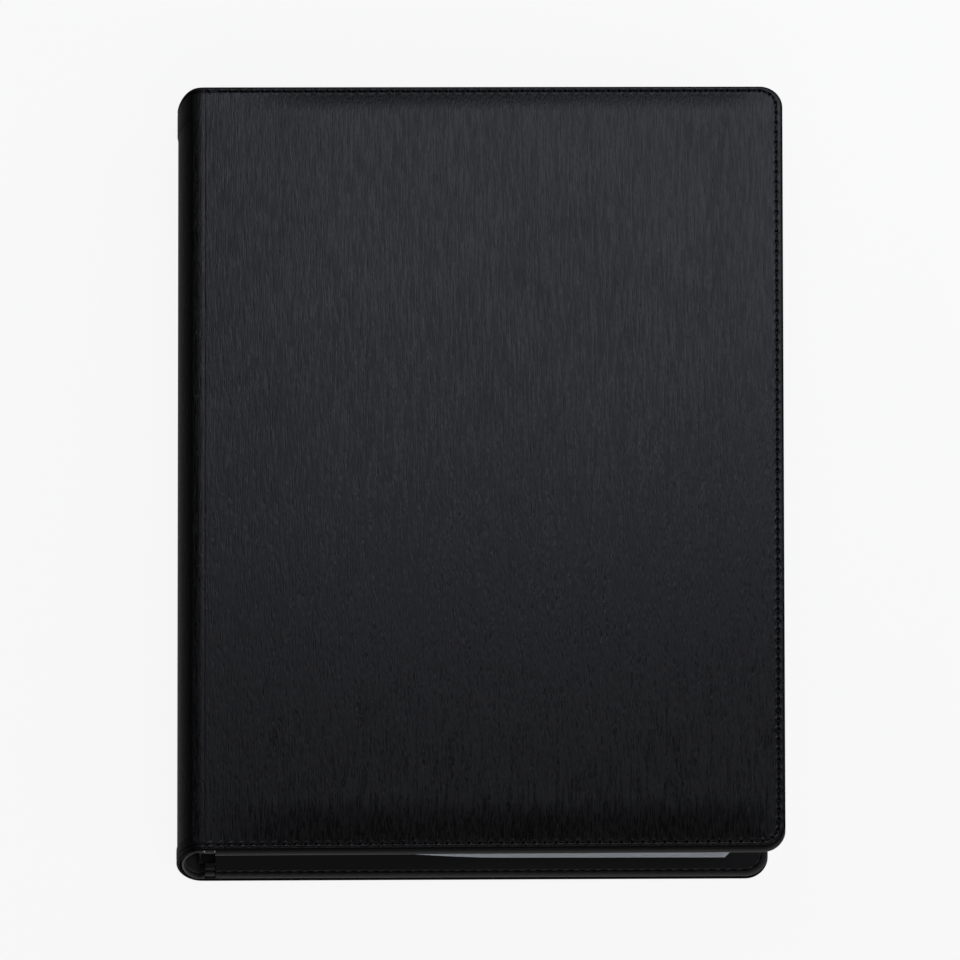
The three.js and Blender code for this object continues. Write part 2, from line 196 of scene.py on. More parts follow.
def add_node(tree, kind, inputs=None, **settings):
    """Adds a node. An input takes a value, or another node's output socket."""
    node = tree.nodes.new(kind)
    for key, value in settings.items():
        setattr(node, key, value)
    for key, value in (inputs or {}).items():
        if isinstance(value, bpy.types.NodeSocket):
            tree.links.new(value, node.inputs[key])
        else:
            node.inputs[key].default_value = value
    return node


SOCKETS = {"specular_ior_level": "Specular IOR Level", "coat_weight": "Coat Weight",
           "coat_roughness": "Coat Roughness", "transmission": "Transmission Weight"}


def new_material(name, colour, roughness, **sockets):
    """A Principled material with constant values on the shader's own sockets."""
    material = bpy.data.materials.new(name)
    material.use_nodes = True
    shader = material.node_tree.nodes["Principled BSDF"]
    shader.inputs["Base Color"].default_value = (*colour, 1.0)
    shader.inputs["Roughness"].default_value = roughness
    for key, value in sockets.items():
        shader.inputs[SOCKETS[key]].default_value = value
    return material, material.node_tree, shader


def stretched_noise(tree, across, along, detail, seed=0.0):
    """Noise with a grain of the given sizes in millimetres, long along the spine."""
    place = add_node(tree, "ShaderNodeTexCoord").outputs["Object"]
    scale = (1 / (across * MM), 1 / (along * MM), 1 / (across * MM))
    mapped = add_node(tree, "ShaderNodeMapping",
                      {"Vector": place, "Scale": scale, "Location": (seed, seed, seed)})
    return add_node(tree, "ShaderNodeTexNoise",
                    {"Vector": mapped.outputs["Vector"], "Scale": 1.0, "Detail": detail, "Roughness": 0.6})


def brushed_leather_cloth(name, colour):
    """Polyurethane leather cloth with a brushed grain: near black, satin, with fine streaks along the spine.
    Where the surface turns from upright, a near-matt copy with little reflection is mixed in: painted shade,
    so that the turned edges and the spine read dark."""
    material, tree, shader = new_material(name, colour, 0.34)
    streaks = stretched_noise(tree, *STREAK_SIZE, 2.0)
    fibres = stretched_noise(tree, *FIBRE_SIZE, 1.0, seed=7.0)
    cloudy = stretched_noise(tree, *CLOUD_SIZE, 2.0, seed=3.0)
    grain = add_node(tree, "ShaderNodeMath", {0: streaks.outputs["Fac"], 1: fibres.outputs["Fac"]},
                     operation="ADD")
    rough = add_node(tree, "ShaderNodeMapRange",
                     {"Value": streaks.outputs["Fac"], "From Min": 0.38, "From Max": 0.62,
                      "To Min": STREAK_ROUGHNESS[0], "To Max": STREAK_ROUGHNESS[1]})
    clouded = add_node(tree, "ShaderNodeMapRange",
                       {"Value": cloudy.outputs["Fac"], "From Min": 0.35, "From Max": 0.65,
                        "To Min": -CLOUD_ROUGHNESS, "To Max": CLOUD_ROUGHNESS})
    total = add_node(tree, "ShaderNodeMath", {0: rough.outputs["Result"], 1: clouded.outputs["Result"]},
                     operation="ADD")
    tree.links.new(total.outputs[0], shader.inputs["Roughness"])
    bump = add_node(tree, "ShaderNodeBump",
                    {"Height": grain.outputs[0], "Strength": 1.0, "Distance": BRUSHED_DEPTH * MM})
    tree.links.new(bump.outputs["Normal"], shader.inputs["Normal"])
    # Painted shade: a near-matt copy of the leather, mixed in by the normal's slope rather than by any
    # stretch, so that rims and the spine reflect little and read dark
    edge = add_node(tree, "ShaderNodeBsdfPrincipled",
                    {"Base Color": (*colour, 1.0), "Roughness": 0.5, "Specular IOR Level": 0.02,
                     "Normal": bump.outputs["Normal"]})
    normal = add_node(tree, "ShaderNodeTexCoord").outputs["Normal"]
    upright = add_node(tree, "ShaderNodeSeparateXYZ", {"Vector": normal}).outputs["Z"]
    facing = add_node(tree, "ShaderNodeMath", {0: upright}, operation="ABSOLUTE")
    edge_shade_share = add_node(tree, "ShaderNodeMapRange",
                         {"Value": facing.outputs[0], "From Min": EDGE_SLOPE, "From Max": FACE_SLOPE,
                          "To Min": 1.0, "To Max": 0.0})
    mixed = add_node(tree, "ShaderNodeMixShader",
                     {0: edge_shade_share.outputs["Result"], 1: shader.outputs[0], 2: edge.outputs[0]})
    tree.links.new(mixed.outputs[0], tree.nodes["Material Output"].inputs["Surface"])
    return material


def smooth_leather_cloth(name, colour):
    """Polyurethane leather cloth for linings: black, semi-matt, with a faint pebble from the embossing
    roller."""
    material, tree, shader = new_material(name, colour, 0.55, specular_ior_level=0.2)
    place = add_node(tree, "ShaderNodeTexCoord").outputs["Object"]
    pebble = add_node(tree, "ShaderNodeTexVoronoi", {"Vector": place, "Scale": 1 / (PEBBLE_SIZE * MM)},
                      feature="F1")
    bump = add_node(tree, "ShaderNodeBump", {"Height": pebble.outputs["Distance"], "Strength": 0.35,
                                             "Distance": 0.05 * MM})
    tree.links.new(bump.outputs["Normal"], shader.inputs["Normal"])
    return material


def twisted_thread(name, colour):
    """Spun polyester thread: black and dull, so that it reads as a dark dash, with fine plies."""
    material, tree, shader = new_material(name, colour, 0.9, specular_ior_level=0.08)
    place = add_node(tree, "ShaderNodeTexCoord").outputs["Object"]
    plies = add_node(tree, "ShaderNodeTexWave",
                     {"Vector": place, "Scale": 0.2 / (PLY_SIZE * MM), "Distortion": 0.5},
                     bands_direction="DIAGONAL")
    bump = add_node(tree, "ShaderNodeBump",
                    {"Height": plies.outputs["Fac"], "Strength": 0.5, "Distance": 0.05 * MM})
    tree.links.new(bump.outputs["Normal"], shader.inputs["Normal"])
    return material


def matt_sheet(name, colour, roughness, grain_mm):
    """Rolled sheet with a fine even grain: polypropylene, greyboard or foam, by its grain size."""
    material, tree, shader = new_material(name, colour, roughness)
    grain = stretched_noise(tree, grain_mm, grain_mm, 2.0)
    bump = add_node(tree, "ShaderNodeBump", {"Height": grain.outputs["Fac"], "Strength": 0.3,
                                             "Distance": 0.1 * grain_mm * MM})
    tree.links.new(bump.outputs["Normal"], shader.inputs["Normal"])
    return material


def clear_film(name, colour):
    """Clear polypropylene film, milky on its welded margins, with fine ripples from the weld."""
    material, tree, shader = new_material(name, colour, 0.25, transmission=0.35)
    ripple = stretched_noise(tree, *RIPPLE_SIZE, 1.0)
    bump = add_node(tree, "ShaderNodeBump", {"Height": ripple.outputs["Fac"], "Strength": 0.4,
                                             "Distance": 0.1 * MM})
    tree.links.new(bump.outputs["Normal"], shader.inputs["Normal"])
    return material


def insert_under_film(name, colour):
    """Black paper seen through clear film: a matt fibre grain under a smooth clear coat."""
    material, tree, shader = new_material(name, colour, 0.8, coat_weight=1.0, coat_roughness=0.12)
    fibres = stretched_noise(tree, *PAPER_SIZE, 3.0)
    bump = add_node(tree, "ShaderNodeBump", {"Height": fibres.outputs["Fac"], "Strength": 0.3,
                                             "Distance": 0.04 * MM})
    tree.links.new(bump.outputs["Normal"], shader.inputs["Normal"])
    return material


def pale_floor(name, colour):
    """A plain studio floor that shows nearly white and keeps a soft shadow. It is matt and has no pattern."""
    material, tree, shader = new_material(name, colour, 0.9)
    path = add_node(tree, "ShaderNodeLightPath").outputs
    seen = path["Is Camera Ray"]
    for other in ("Is Glossy Ray", "Is Transmission Ray"):
        seen = add_node(tree, "ShaderNodeMath", {0: seen, 1: path[other]}, operation="MAXIMUM").outputs[0]
    share = add_node(tree, "ShaderNodeMath", {0: seen, 1: FLOOR_GLOW}, operation="MULTIPLY").outputs[0]
    white = add_node(tree, "ShaderNodeEmission", {"Strength": 1.0})
    mixed = add_node(tree, "ShaderNodeMixShader", {0: share, 1: shader.outputs[0], 2: white.outputs[0]})
    tree.links.new(mixed.outputs[0], tree.nodes["Material Output"].inputs["Surface"])
    return material


# Meshes

CUT_PRECISION = 1e-6


def deselect_all():
    """Leaves edit mode and selects nothing."""
    if bpy.context.object and bpy.context.object.mode != "OBJECT":
        bpy.ops.object.mode_set(mode="OBJECT")
    bpy.ops.object.select_all(action="DESELECT")


def choose(piece):
    """Selects one piece and makes it the active one."""
    deselect_all()
    piece.select_set(True)
    bpy.context.view_layer.objects.active = piece


def new_piece(name, points, faces, material):
    """A mesh object at the origin from points in millimetres."""
    mesh = bpy.data.meshes.new(name)
    mesh.from_pydata((np.asarray(points, float) * MM).tolist(), [], faces)
    mesh.update()
    piece = bpy.data.objects.new(name, mesh)
    bpy.context.scene.collection.objects.link(piece)
    mesh.materials.append(material)
    return piece


def point_faces_out(piece, smooth_degrees=40):
    """Joins points that coincide, turns the faces outwards, and smooths all but the sharp edges."""
    choose(piece)
    bpy.ops.object.mode_set(mode="EDIT")
    bpy.ops.mesh.select_all(action="SELECT")
    bpy.ops.mesh.remove_doubles(threshold=1e-7)
    bpy.ops.mesh.normals_make_consistent(inside=False)
    bpy.ops.object.mode_set(mode="OBJECT")
    bpy.ops.object.shade_smooth_by_angle(angle=math.radians(smooth_degrees))
    deselect_all()


def cut_off(piece, x):
    """Cuts away what lies nearer the spine than a distance from the crease, and closes the cut."""
    choose(piece)
    bpy.ops.object.mode_set(mode="EDIT")
    bpy.ops.mesh.select_all(action="SELECT")
    bpy.ops.mesh.bisect(plane_co=((CREASE_X + x) * MM, 0, 0), plane_no=(1, 0, 0), threshold=CUT_PRECISION,
                        clear_inner=True)
    bpy.ops.mesh.select_all(action="DESELECT")
    bpy.ops.mesh.select_non_manifold()
    bpy.ops.mesh.edge_face_add()
    bpy.ops.object.mode_set(mode="OBJECT")
    deselect_all()


def loft(name, rings, material):
    """Rings of equally many points, joined in turn, with the first and last closed by a face."""
    rings = np.asarray(rings)
    count, size = rings.shape[:2]
    index = np.arange(count * size).reshape(count, size)
    a, b = index[:-1], np.roll(index, -1, axis=1)[:-1]
    c, d = np.roll(index, -1, axis=1)[1:], index[1:]
    quads = np.stack([a, b, c, d], axis=-1).reshape(-1, 4).tolist()
    caps = [index[0][::-1].tolist(), index[-1].tolist()]
    return new_piece(name, rings.reshape(-1, 3), quads + caps, material)


# The covers. A cover is worked on about its crease: x to the fore edge, depth inwards from the rim.

PADDING_STEPS = [0, 0.05, 0.1, 0.16, 0.24, 0.33, 0.44, 0.56, 0.7, 0.85, 1]
HEM_INSETS = [4.5, 4.0, 3.6, 3.3, 3.05, 2.85, 2.65, 2.45, 2.27, 2.1, 1.93, 1.75, 1.6, 1.45]
CREASE_SLICES = [0.15, 0.3, 0.45, 0.65, 0.9, 1.3]
SWELL_SLICES = [3, 6, 10, 15, 20, 26, 32, 39, 46, 53, 60]
HEM_TURNS = 10
COLUMNS_PER_STITCH = 10
SPINE_SIDE_COLUMNS = 14
TIGHTEST_CORNER = 3.0
INNERMOST_SHIFT = 0.9
VALLEY_REACH = 4.0
EXPOSED_SHARE = 0.45
SEWN_BEFORE = 0.3
SEWN_GROOVE_SHARE = 0.75
PUCKER_AT = 2.4
FORE_LAP_SHARE = 0.2


def toward_foot(y):
    """0 at the head and 1 at the foot."""
    return (HALF_HEIGHT - y) / (2 * HALF_HEIGHT)


class Cover:
    """The outline of one cover, and where its stitches fall."""

    def __init__(self, name, reach, rim_z, inward, crown, foot_near, foot_far):
        self.name, self.reach, self.rim_z, self.inward, self.crown = name, reach, rim_z, inward, crown
        self.foot_near, self.foot_far = foot_near, foot_far
        size = sizes()
        self.size = size
        lengths = self.lengths(size["stitch_inset"])
        self.path = float(sum(lengths))
        self.edges = np.concatenate([[0], np.cumsum(lengths)])
        self.stitches = round(self.path / size["stitch_pitch"])
        self.pitch = self.path / self.stitches
        steps = self.stitches * COLUMNS_PER_STITCH
        self.along = np.arange(steps + 1) / steps * self.path

    def sides(self, inset):
        """Insets at the foot, fore edge and head, and the x of the spine side, for a hem's inset."""
        hem = self.size["hem_width"]
        fore = inset + self.size["fore_stitch"] * math.sin(math.pi * min(inset / hem, 1))
        return inset, fore, inset, inset - hem

    def padded_sides(self, step):
        """Insets and spine side from the hem's inner edge, at step 0, to where the foam is level, at 1."""
        size, hem = self.size, self.size["hem_width"]
        foot, fore, head = (hem + step * (size[key] - hem) for key in ("foot_fall", "fore_fall", "head_fall"))
        return foot, fore, head, (INNERMOST_SHIFT * step - 1) * hem

    def swell(self, x, y):
        """How far the foam swells the face: nothing at the stitches and the crease, level in the middle."""
        size, hem = self.size, self.size["swell_inset"]
        shares = ((y + HALF_HEIGHT - hem) / (size["foot_fall"] - hem),
                  (self.reach - hem - x) / (size["fore_fall"] - hem),
                  (HALF_HEIGHT - hem - y) / (size["head_fall"] - hem), x / size["spine_fall"])
        height = np.full_like(x, self.crown)
        for share in shares:
            height = height * np.sin(np.clip(share, 0, 1) * math.pi / 2)
        return height

    def corners(self, sides):
        """The four straight sides' places and the corner radii at the foot and the head."""
        foot, fore, head, left = sides
        tight = [max(self.size["corner_radius"] - min(end, fore), TIGHTEST_CORNER) for end in (foot, head)]
        right = self.reach - fore
        return left, right, foot - HALF_HEIGHT, HALF_HEIGHT - head, tight

    def lengths(self, inset):
        """Lengths of the foot, its corner, the fore edge, the head's corner and the head."""
        left, right, low, high, (r1, r2) = self.corners(self.sides(inset))
        quarter = math.pi / 2
        return [right - r1 - left, r1 * quarter, high - low - r1 - r2, r2 * quarter, right - r2 - left]

    def outline(self, sides, along):
        """Points of the outline drawn in by the sides, at distances along the stitch path."""
        left, right, low, high, (r1, r2) = self.corners(sides)
        part = np.clip(np.searchsorted(self.edges, along, side="right") - 1, 0, 4)
        share = (along - self.edges[part]) / (self.edges[part + 1] - self.edges[part])
        turn1 = -math.pi / 2 + share * math.pi / 2
        turn2 = share * math.pi / 2
        x = np.choose(part, [left + share * (right - r1 - left), right - r1 + r1 * np.cos(turn1),
                             np.full_like(share, right), right - r2 + r2 * np.cos(turn2),
                             right - r2 + share * (left - right + r2)])
        y = np.choose(part, [np.full_like(share, low), low + r1 + r1 * np.sin(turn1),
                             low + r1 + share * (high - r2 - low - r1), high - r2 + r2 * np.sin(turn2),
                             np.full_like(share, high)])
        return x, y

    def ring(self, sides, depth):
        """A closed ring at a depth, which may differ from column to column."""
        x, y = self.outline(sides, self.along)
        share = np.arange(1, SPINE_SIDE_COLUMNS + 1) / (SPINE_SIDE_COLUMNS + 1)
        x = np.concatenate([x, np.full(SPINE_SIDE_COLUMNS, x[-1])])
        y = np.concatenate([y, y[-1] + share * (y[0] - y[-1])])
        depth = np.broadcast_to(depth, self.along.shape) if np.ndim(depth) == 0 else depth
        depth = np.concatenate([depth, np.full(SPINE_SIDE_COLUMNS, depth[-1])])
        return self.place(x, y, depth)

    def place(self, x, y, depth):
        """World points, with the foot edge a little askew as on a book made by hand."""
        share = np.clip(x / self.reach, 0, 1)
        y = y + (self.foot_near + (self.foot_far - self.foot_near) * share) * toward_foot(y)
        return np.stack([CREASE_X + x, y, self.rim_z + self.inward * depth], axis=-1)

    def stitched(self, x):
        """1 where the stitch line is sewn, and 0 by the spine."""
        return (x > self.size["stitch_start"] - SEWN_BEFORE * self.pitch).astype(float)

    def pull(self, inset, x):
        """How far the sewing pulls the surface in at an inset, column by column."""
        size = self.size
        across = inset - size["stitch_inset"]
        nearest = self.along - np.round(self.along / self.pitch) * self.pitch
        away = np.hypot(nearest, across)
        sewn = self.stitched(x)
        groove = size["groove_depth"] * math.exp(-((across / size["groove_half"]) ** 2))
        hole = size["hole_depth"] * np.exp(-((away / size["hole_half"]) ** 2))
        pucker = size["pucker"] * np.exp(-((away / size["hole_half"] - PUCKER_AT) ** 2))
        return groove * (1 - (1 - SEWN_GROOVE_SHARE) * sewn) + sewn * (hole - pucker)


def crease_valley(x):
    """The depth of the valley along a crease, at a distance from it."""
    size = sizes()
    return size["crease_depth"] * np.exp(-((x / size["crease_half"]) ** 2))


def hemmed_sheet(cover, name, material, hem_exposed, hem_hidden, hidden, padded):
    """A sheet with a rounded hem sewn on three sides, from the depths of its hem's two faces and of the
    sheet's own hidden face. The sewing shows on the exposed side."""
    steps = PADDING_STEPS if padded else [0, 1]
    size = cover.size
    sense = math.copysign(1, hem_hidden - hem_exposed)
    middle = (hem_exposed + hem_hidden) / 2
    rings = [cover.ring(cover.padded_sides(step), hem_exposed) for step in reversed(steps)]
    for inset in HEM_INSETS:
        x, _ = cover.outline(cover.sides(inset), cover.along)
        rings.append(cover.ring(cover.sides(inset), hem_exposed + sense * cover.pull(inset, x)))
    for turn in np.linspace(0, math.pi, HEM_TURNS + 1):
        inset = size["hem_round"] * (1 - math.sin(turn))
        x, _ = cover.outline(cover.sides(inset), cover.along)
        fade = max(math.cos(turn), 0) ** 2
        pull = cover.pull(inset, x) * fade
        depth = middle + (hem_exposed - middle) * math.cos(turn) + sense * pull
        rings.append(cover.ring(cover.sides(inset), depth))
    rings.append(cover.ring(cover.sides(size["hem_width"]), hem_hidden))
    rings += [cover.ring(cover.padded_sides(step), hidden) for step in steps]
    return loft(name, rings, material)


def slice_across(piece, distances):
    """Adds an edge loop across a piece at each distance from the crease."""
    choose(piece)
    bpy.ops.object.mode_set(mode="EDIT")
    for x in distances:
        bpy.ops.mesh.select_all(action="SELECT")
        bpy.ops.mesh.bisect(plane_co=((CREASE_X + x) * MM, 0, 0), plane_no=(1, 0, 0),
                            threshold=CUT_PRECISION)
    bpy.ops.object.mode_set(mode="OBJECT")
    deselect_all()


def shape_face(piece, cover):
    """Swells the padded face, and lowers its exposed side into the valley at the crease."""
    mesh = piece.data
    points = np.empty(len(mesh.vertices) * 3)
    mesh.vertices.foreach_get("co", points)
    points = points.reshape(-1, 3) / MM
    x = points[:, 0] - CREASE_X
    depth = (points[:, 2] - cover.rim_z) * cover.inward
    near = (np.abs(x) < VALLEY_REACH) & (depth < EXPOSED_SHARE * cover.size["skin"])
    points[:, 2] -= cover.inward * cover.swell(x, points[:, 1])
    points[near, 2] += cover.inward * crease_valley(x[near])
    mesh.vertices.foreach_set("co", (points * MM).ravel())
    mesh.update()


def cloth_cut(width):
    """The flat cut of a hemmed piece, in metres, with a hem at the fore edge, foot and head."""
    hem = sizes()["hem_width"]
    return (width + hem) * MM, (2 * HALF_HEIGHT + 2 * hem) * MM


def make_skin(cover, material):
    """The outer sheet of a cover, hemmed and sewn on three sides."""
    piece = hemmed_sheet(cover, f"{cover.name}_skin_cloth", material, 0.0, SKIN_HEM, cover.size["skin"],
                         padded=cover.crown > 0)
    cut_off(piece, 0.0)
    slice_across(piece, CREASE_SLICES + (SWELL_SLICES if cover.crown > 0 else []))
    shape_face(piece, cover)
    point_faces_out(piece)
    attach(piece, f"{cover.name}_cover")
    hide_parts(f"{cover.name}_skin")
    cloth_cut(cover.reach)


def make_pocket(cover, material):
    """The inside pocket of a cover, open towards the spine."""
    piece = hemmed_sheet(cover, f"{cover.name}_pocket_cloth", material, COVER_EDGE, LINING_HEM,
                         COVER_EDGE - cover.size["pocket"], padded=False)
    cut_off(piece, POCKET_START)
    point_faces_out(piece)
    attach(piece, f"{cover.name}_cover")
    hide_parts(f"{cover.name}_pocket")
    cut = cloth_cut(cover.reach - POCKET_START)


THREAD_SIDES = 6
THREAD_STEPS = 7
THREAD_FROM = 0.04
THREAD_SPAN = 0.92
THREAD_SLANT = 0.2
THREAD_SINK = 0.35
THREAD_BEDDING = 0.42
THREAD_END_SHARE = 0.6


def make_stitches(cover, name, material, exposed, outward):
    """One thread from each needle hole to the next, which dives into the holes and lies a little aslant."""
    size = cover.size
    holes = np.arange(cover.stitches) * cover.pitch
    x, _ = cover.outline(cover.sides(size["stitch_inset"]), holes)
    x_next, _ = cover.outline(cover.sides(size["stitch_inset"]), holes + cover.pitch)
    holes = holes[(x > size["stitch_start"]) & (x_next > size["stitch_start"])]
    run = np.linspace(0, 1, THREAD_STEPS)
    radius = size["thread"] / 2
    along = holes[:, None] + cover.pitch * (THREAD_FROM + THREAD_SPAN * run[None, :])
    aslant = THREAD_SLANT * np.cos(run * math.pi)
    arch = np.sin(run * math.pi) ** 0.5
    depth = size["groove_depth"] + THREAD_SINK - (THREAD_SINK + THREAD_BEDDING * size["thread"]) * arch
    points = np.empty(along.shape + (3,))
    side = np.empty(along.shape + (3,))
    for step in range(THREAD_STEPS):
        level = exposed + outward * depth[step]
        for target, shift in ((points, aslant[step]), (side, 1)):
            px, py = cover.outline(cover.sides(size["stitch_inset"] + shift), along[:, step])
            target[:, step] = cover.place(px, py, np.full_like(px, level))
    across = side - points
    across[..., 2] = 0
    across /= np.linalg.norm(across, axis=-1, keepdims=True)
    up = np.array([0, 0, -cover.inward * outward])
    angles = np.arange(THREAD_SIDES) / THREAD_SIDES * 2 * math.pi
    thick = radius * np.where((run == 0) | (run == 1), THREAD_END_SHARE, 1.0)[None, :, None, None]
    sideways = np.cos(angles)[None, None, :, None] * thick
    upwards = np.sin(angles)[None, None, :, None] * thick
    tube = points[:, :, None] + across[:, :, None] * sideways + up * upwards
    base = np.arange(len(holes))[:, None, None] * THREAD_STEPS * THREAD_SIDES
    ring = np.arange(THREAD_STEPS - 1)[None, :, None] * THREAD_SIDES
    a = base + ring + np.arange(THREAD_SIDES)
    b = base + ring + (np.arange(THREAD_SIDES) + 1) % THREAD_SIDES
    quads = np.stack([a, b, b + THREAD_SIDES, a + THREAD_SIDES], axis=-1).reshape(-1, 4).tolist()
    ends = []
    for first in base[:, 0, 0]:
        ends.append([int(first) + i for i in reversed(range(THREAD_SIDES))])
        ends.append([int(first) + (THREAD_STEPS - 1) * THREAD_SIDES + i for i in range(THREAD_SIDES)])
    piece = new_piece(name, tube.reshape(-1, 3), quads + ends, material)
    point_faces_out(piece, 80)
    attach(piece, f"{cover.name}_cover")


def front(lap=0.0):
    """The front cover's outline, or that of its pocket, which laps past the skin at the foot."""
    size = sizes()
    return Cover("front", FRONT_REACH, FRONT_RIM_Z, -1, FRONT_CROWN + size["puff"], -lap,
                 size["foot_skew"] - lap)


def back():
    """The back cover's outline."""
    lap = sizes()["foot_lap"]
    return Cover("back", BACK_REACH, BACK_RIM_Z, 1, 0.0, -lap, -FORE_LAP_SHARE * lap)


# The spine

SPINE_TURNS = 64
HEM_LENGTH_STEPS = [0.06, 0.25, 0.45, 0.65, 0.85, 1]
DRAW_POWER = 3.7
FLARE_DEGREES = 28
SPINE_WALL = 2.9
SPINE_SEAM = 0.3
STIFFENER = 0.8
STIFFENER_DEPTH = 1.2
STIFFENER_FROM = 30
STIFFENER_POINTS = 49
GIRTH_POINTS = 33
GROOVE_OFFSETS = [-0.9, -0.7, -0.5, -0.3, -0.1, 0.1, 0.3, 0.5, 0.7, 0.9, 1.2]
HEM_TAPER = 0.8
HEM_FADE = 1


def spine_points(turn, depth, y):
    """Points of the spine's wall at turns from the upper crease, some depth under its outside."""
    rise = BOOK_THICKNESS / 2
    size = sizes()
    out = np.stack([-rise * np.sin(turn), SPINE_DEPTH * np.cos(turn)], axis=-1)
    out /= np.linalg.norm(out, axis=-1, keepdims=True)
    x = -SPINE_DEPTH * np.sin(turn) - depth * out[:, 0]
    z = rise * np.cos(turn) - depth * out[:, 1]
    drawn = size["head_draw"] * np.abs(np.sin(turn)) ** DRAW_POWER * (1 - toward_foot(y))
    drawn = drawn + size["foot_lap"] * (1 - np.cos(turn)) / 2 * toward_foot(y)
    return np.stack([CREASE_X + x, y - drawn, BACK_RIM_Z + rise + z], axis=-1)


def flare(turn):
    """1 at the creases and 0 in the middle of the spine, where its wall is thinner."""
    away = np.minimum(turn, math.pi - turn) / math.radians(FLARE_DEGREES)
    return np.where(away < 1, (1 + np.cos(math.pi * np.minimum(away, 1))) / 2, 0)


def hem_stations(hem_length):
    """Distance from the end, and the shares of opening, folding and standing proud, from one end inwards."""
    size = sizes()
    stations = []
    for part in HEM_LENGTH_STEPS:
        turn = part * math.pi / 2
        stations.append((size["hem_round"] * (1 - math.cos(turn)), math.sin(turn), 1.0, 1.0))
    for offset in GROOVE_OFFSETS:
        stations.append((size["stitch_inset"] + offset, 1.0, 1.0, 1.0))
    hem = size["hem_width"]
    stations += [(hem, 1.0, 1.0, 1.0), (hem + HEM_TAPER, 1.0, 0.0, 1.0)]
    for share in (0, 0.25, 0.5, 0.75, 1):
        away = hem_length + HEM_FADE * (2 * share - 1)
        stations.append((away, 1.0, 0.0, (1 + math.cos(share * math.pi)) / 2))
    return stations


def spine_layer(name, material, sheet_outer, sheet_inner, hem_outer, hem_inner, exposed_outside):
    """A layer of the spine between two depths, which it changes for two others along its hems."""
    size = sizes()
    turn = np.linspace(0, math.pi, SPINE_TURNS + 1)
    x = SPINE_DEPTH * np.sin(turn)

    def ring(station, y):
        away, opening, fold, proud = station
        across = (away - size["stitch_inset"]) / size["groove_half"]
        groove = size["groove_depth"] * math.exp(-(across ** 2))
        outer = sheet_outer(turn) * (1 - fold) + hem_outer(turn) * fold
        inner = sheet_inner(turn) * (1 - fold) + hem_inner(turn) * fold
        if exposed_outside:
            outer = outer + groove - proud * size["hem_proud"] * np.sin(turn) ** 2 + crease_valley(x)
        else:
            inner = inner - groove
        middle = (outer + inner) / 2
        outer = middle + (outer - middle) * opening
        inner = middle + (inner - middle) * opening
        return np.concatenate([spine_points(turn, outer, y), spine_points(turn, inner, y)[::-1]])

    foot = [ring(s, s[0] - HALF_HEIGHT) for s in hem_stations(size["foot_hem"])]
    head = [ring(s, HALF_HEIGHT - s[0]) for s in hem_stations(size["head_hem"])]
    return loft(name, foot + head[::-1], material)


def finish_spine_piece(piece, node):
    """Lets a piece ride on the spine, with a mesh of its own, and hides the plain part it stands for."""
    point_faces_out(piece)
    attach(piece, "spine")
    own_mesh(piece)
    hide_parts(node)


def length_of(points):
    """The length in metres of a line through points in millimetres."""
    return float(np.linalg.norm(np.diff(points, axis=0), axis=1).sum()) * MM


def spine_sheet(turns, outer, inner, foot, head):
    """Rings of a plain sheet along the spine's wall between two depths and two ends."""
    ends = []
    for y in np.linspace(foot, head, 9):
        ends.append(np.concatenate([spine_points(turns, outer, y), spine_points(turns, inner, y)[::-1]]))
    return ends


# The pages

BLOCK_LOW, BLOCK_HIGH = (np.array(corner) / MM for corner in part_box("page_block"))
LEAF_COUNT = 28
LEAF_STEPS = 24
BOUND_BASE = 14.3
BOUND_THICKNESS = 6.2
WELD_END = 2.95
FILM_GAP = 0.02
LOW_LEAF_SHORTER = 6.2
DROOP_FROM = 0.28
DROOP_TO = 0.56
LOW_LEAF_RISE = 3.4
INSERT_EASE = 0.02
WELD_OVERLAP = 0.4


def leaf_sheet(number, x_from, x_to, y_from, y_to, thickness, ease):
    """Two rings of one leaf, which droops from the bound edge to its free edge."""
    share = number / (LEAF_COUNT - 1)
    top_gap = BLOCK_HIGH[2] - thickness
    bound = BOUND_BASE + share * (BOUND_THICKNESS - thickness) + ease
    free = BLOCK_LOW[2] + LOW_LEAF_RISE + share * (top_gap - BLOCK_LOW[2] - LOW_LEAF_RISE) + ease
    root = CREASE_X + WELD_END
    end = BLOCK_HIGH[0] - (1 - share) * LOW_LEAF_SHORTER
    x = np.linspace(max(x_from, root), min(x_to, end), LEAF_STEPS)
    across = (x - root) / (end - root)
    drop = np.clip((across - DROOP_FROM) / (DROOP_TO - DROOP_FROM), 0, 1)
    low = bound + (free - bound) * drop * drop * (3 - 2 * drop)
    high = low + thickness - 2 * ease
    ring = np.stack([np.concatenate([x, x[::-1]]), np.concatenate([low, high[::-1]])], axis=-1)
    rings = []
    for y in (y_from, y_to):
        rings.append(np.stack([ring[:, 0], np.full(len(ring), y), ring[:, 1]], axis=-1))
    return rings


def join_lofts(name, lofts, material):
    """One piece from many lofts."""
    points, faces = [], []
    for rings in lofts:
        rings = np.asarray(rings)
        count, size = rings.shape[:2]
        index = np.arange(count * size).reshape(count, size) + sum(len(part) for part in points)
        a, b = index[:-1], np.roll(index, -1, axis=1)[:-1]
        c, d = np.roll(index, -1, axis=1)[1:], index[1:]
        faces += np.stack([a, b, c, d], axis=-1).reshape(-1, 4).tolist()
        half = size // 2
        for end, order in ((index[0], 1), (index[-1], -1)):
            for k in range(half - 1):
                quad = [int(end[k]), int(end[k + 1]), int(end[size - 2 - k]), int(end[size - 1 - k])]
                faces.append(quad[::order])
        points.append(rings.reshape(-1, 3))
    return new_piece(name, np.concatenate(points), faces, material)


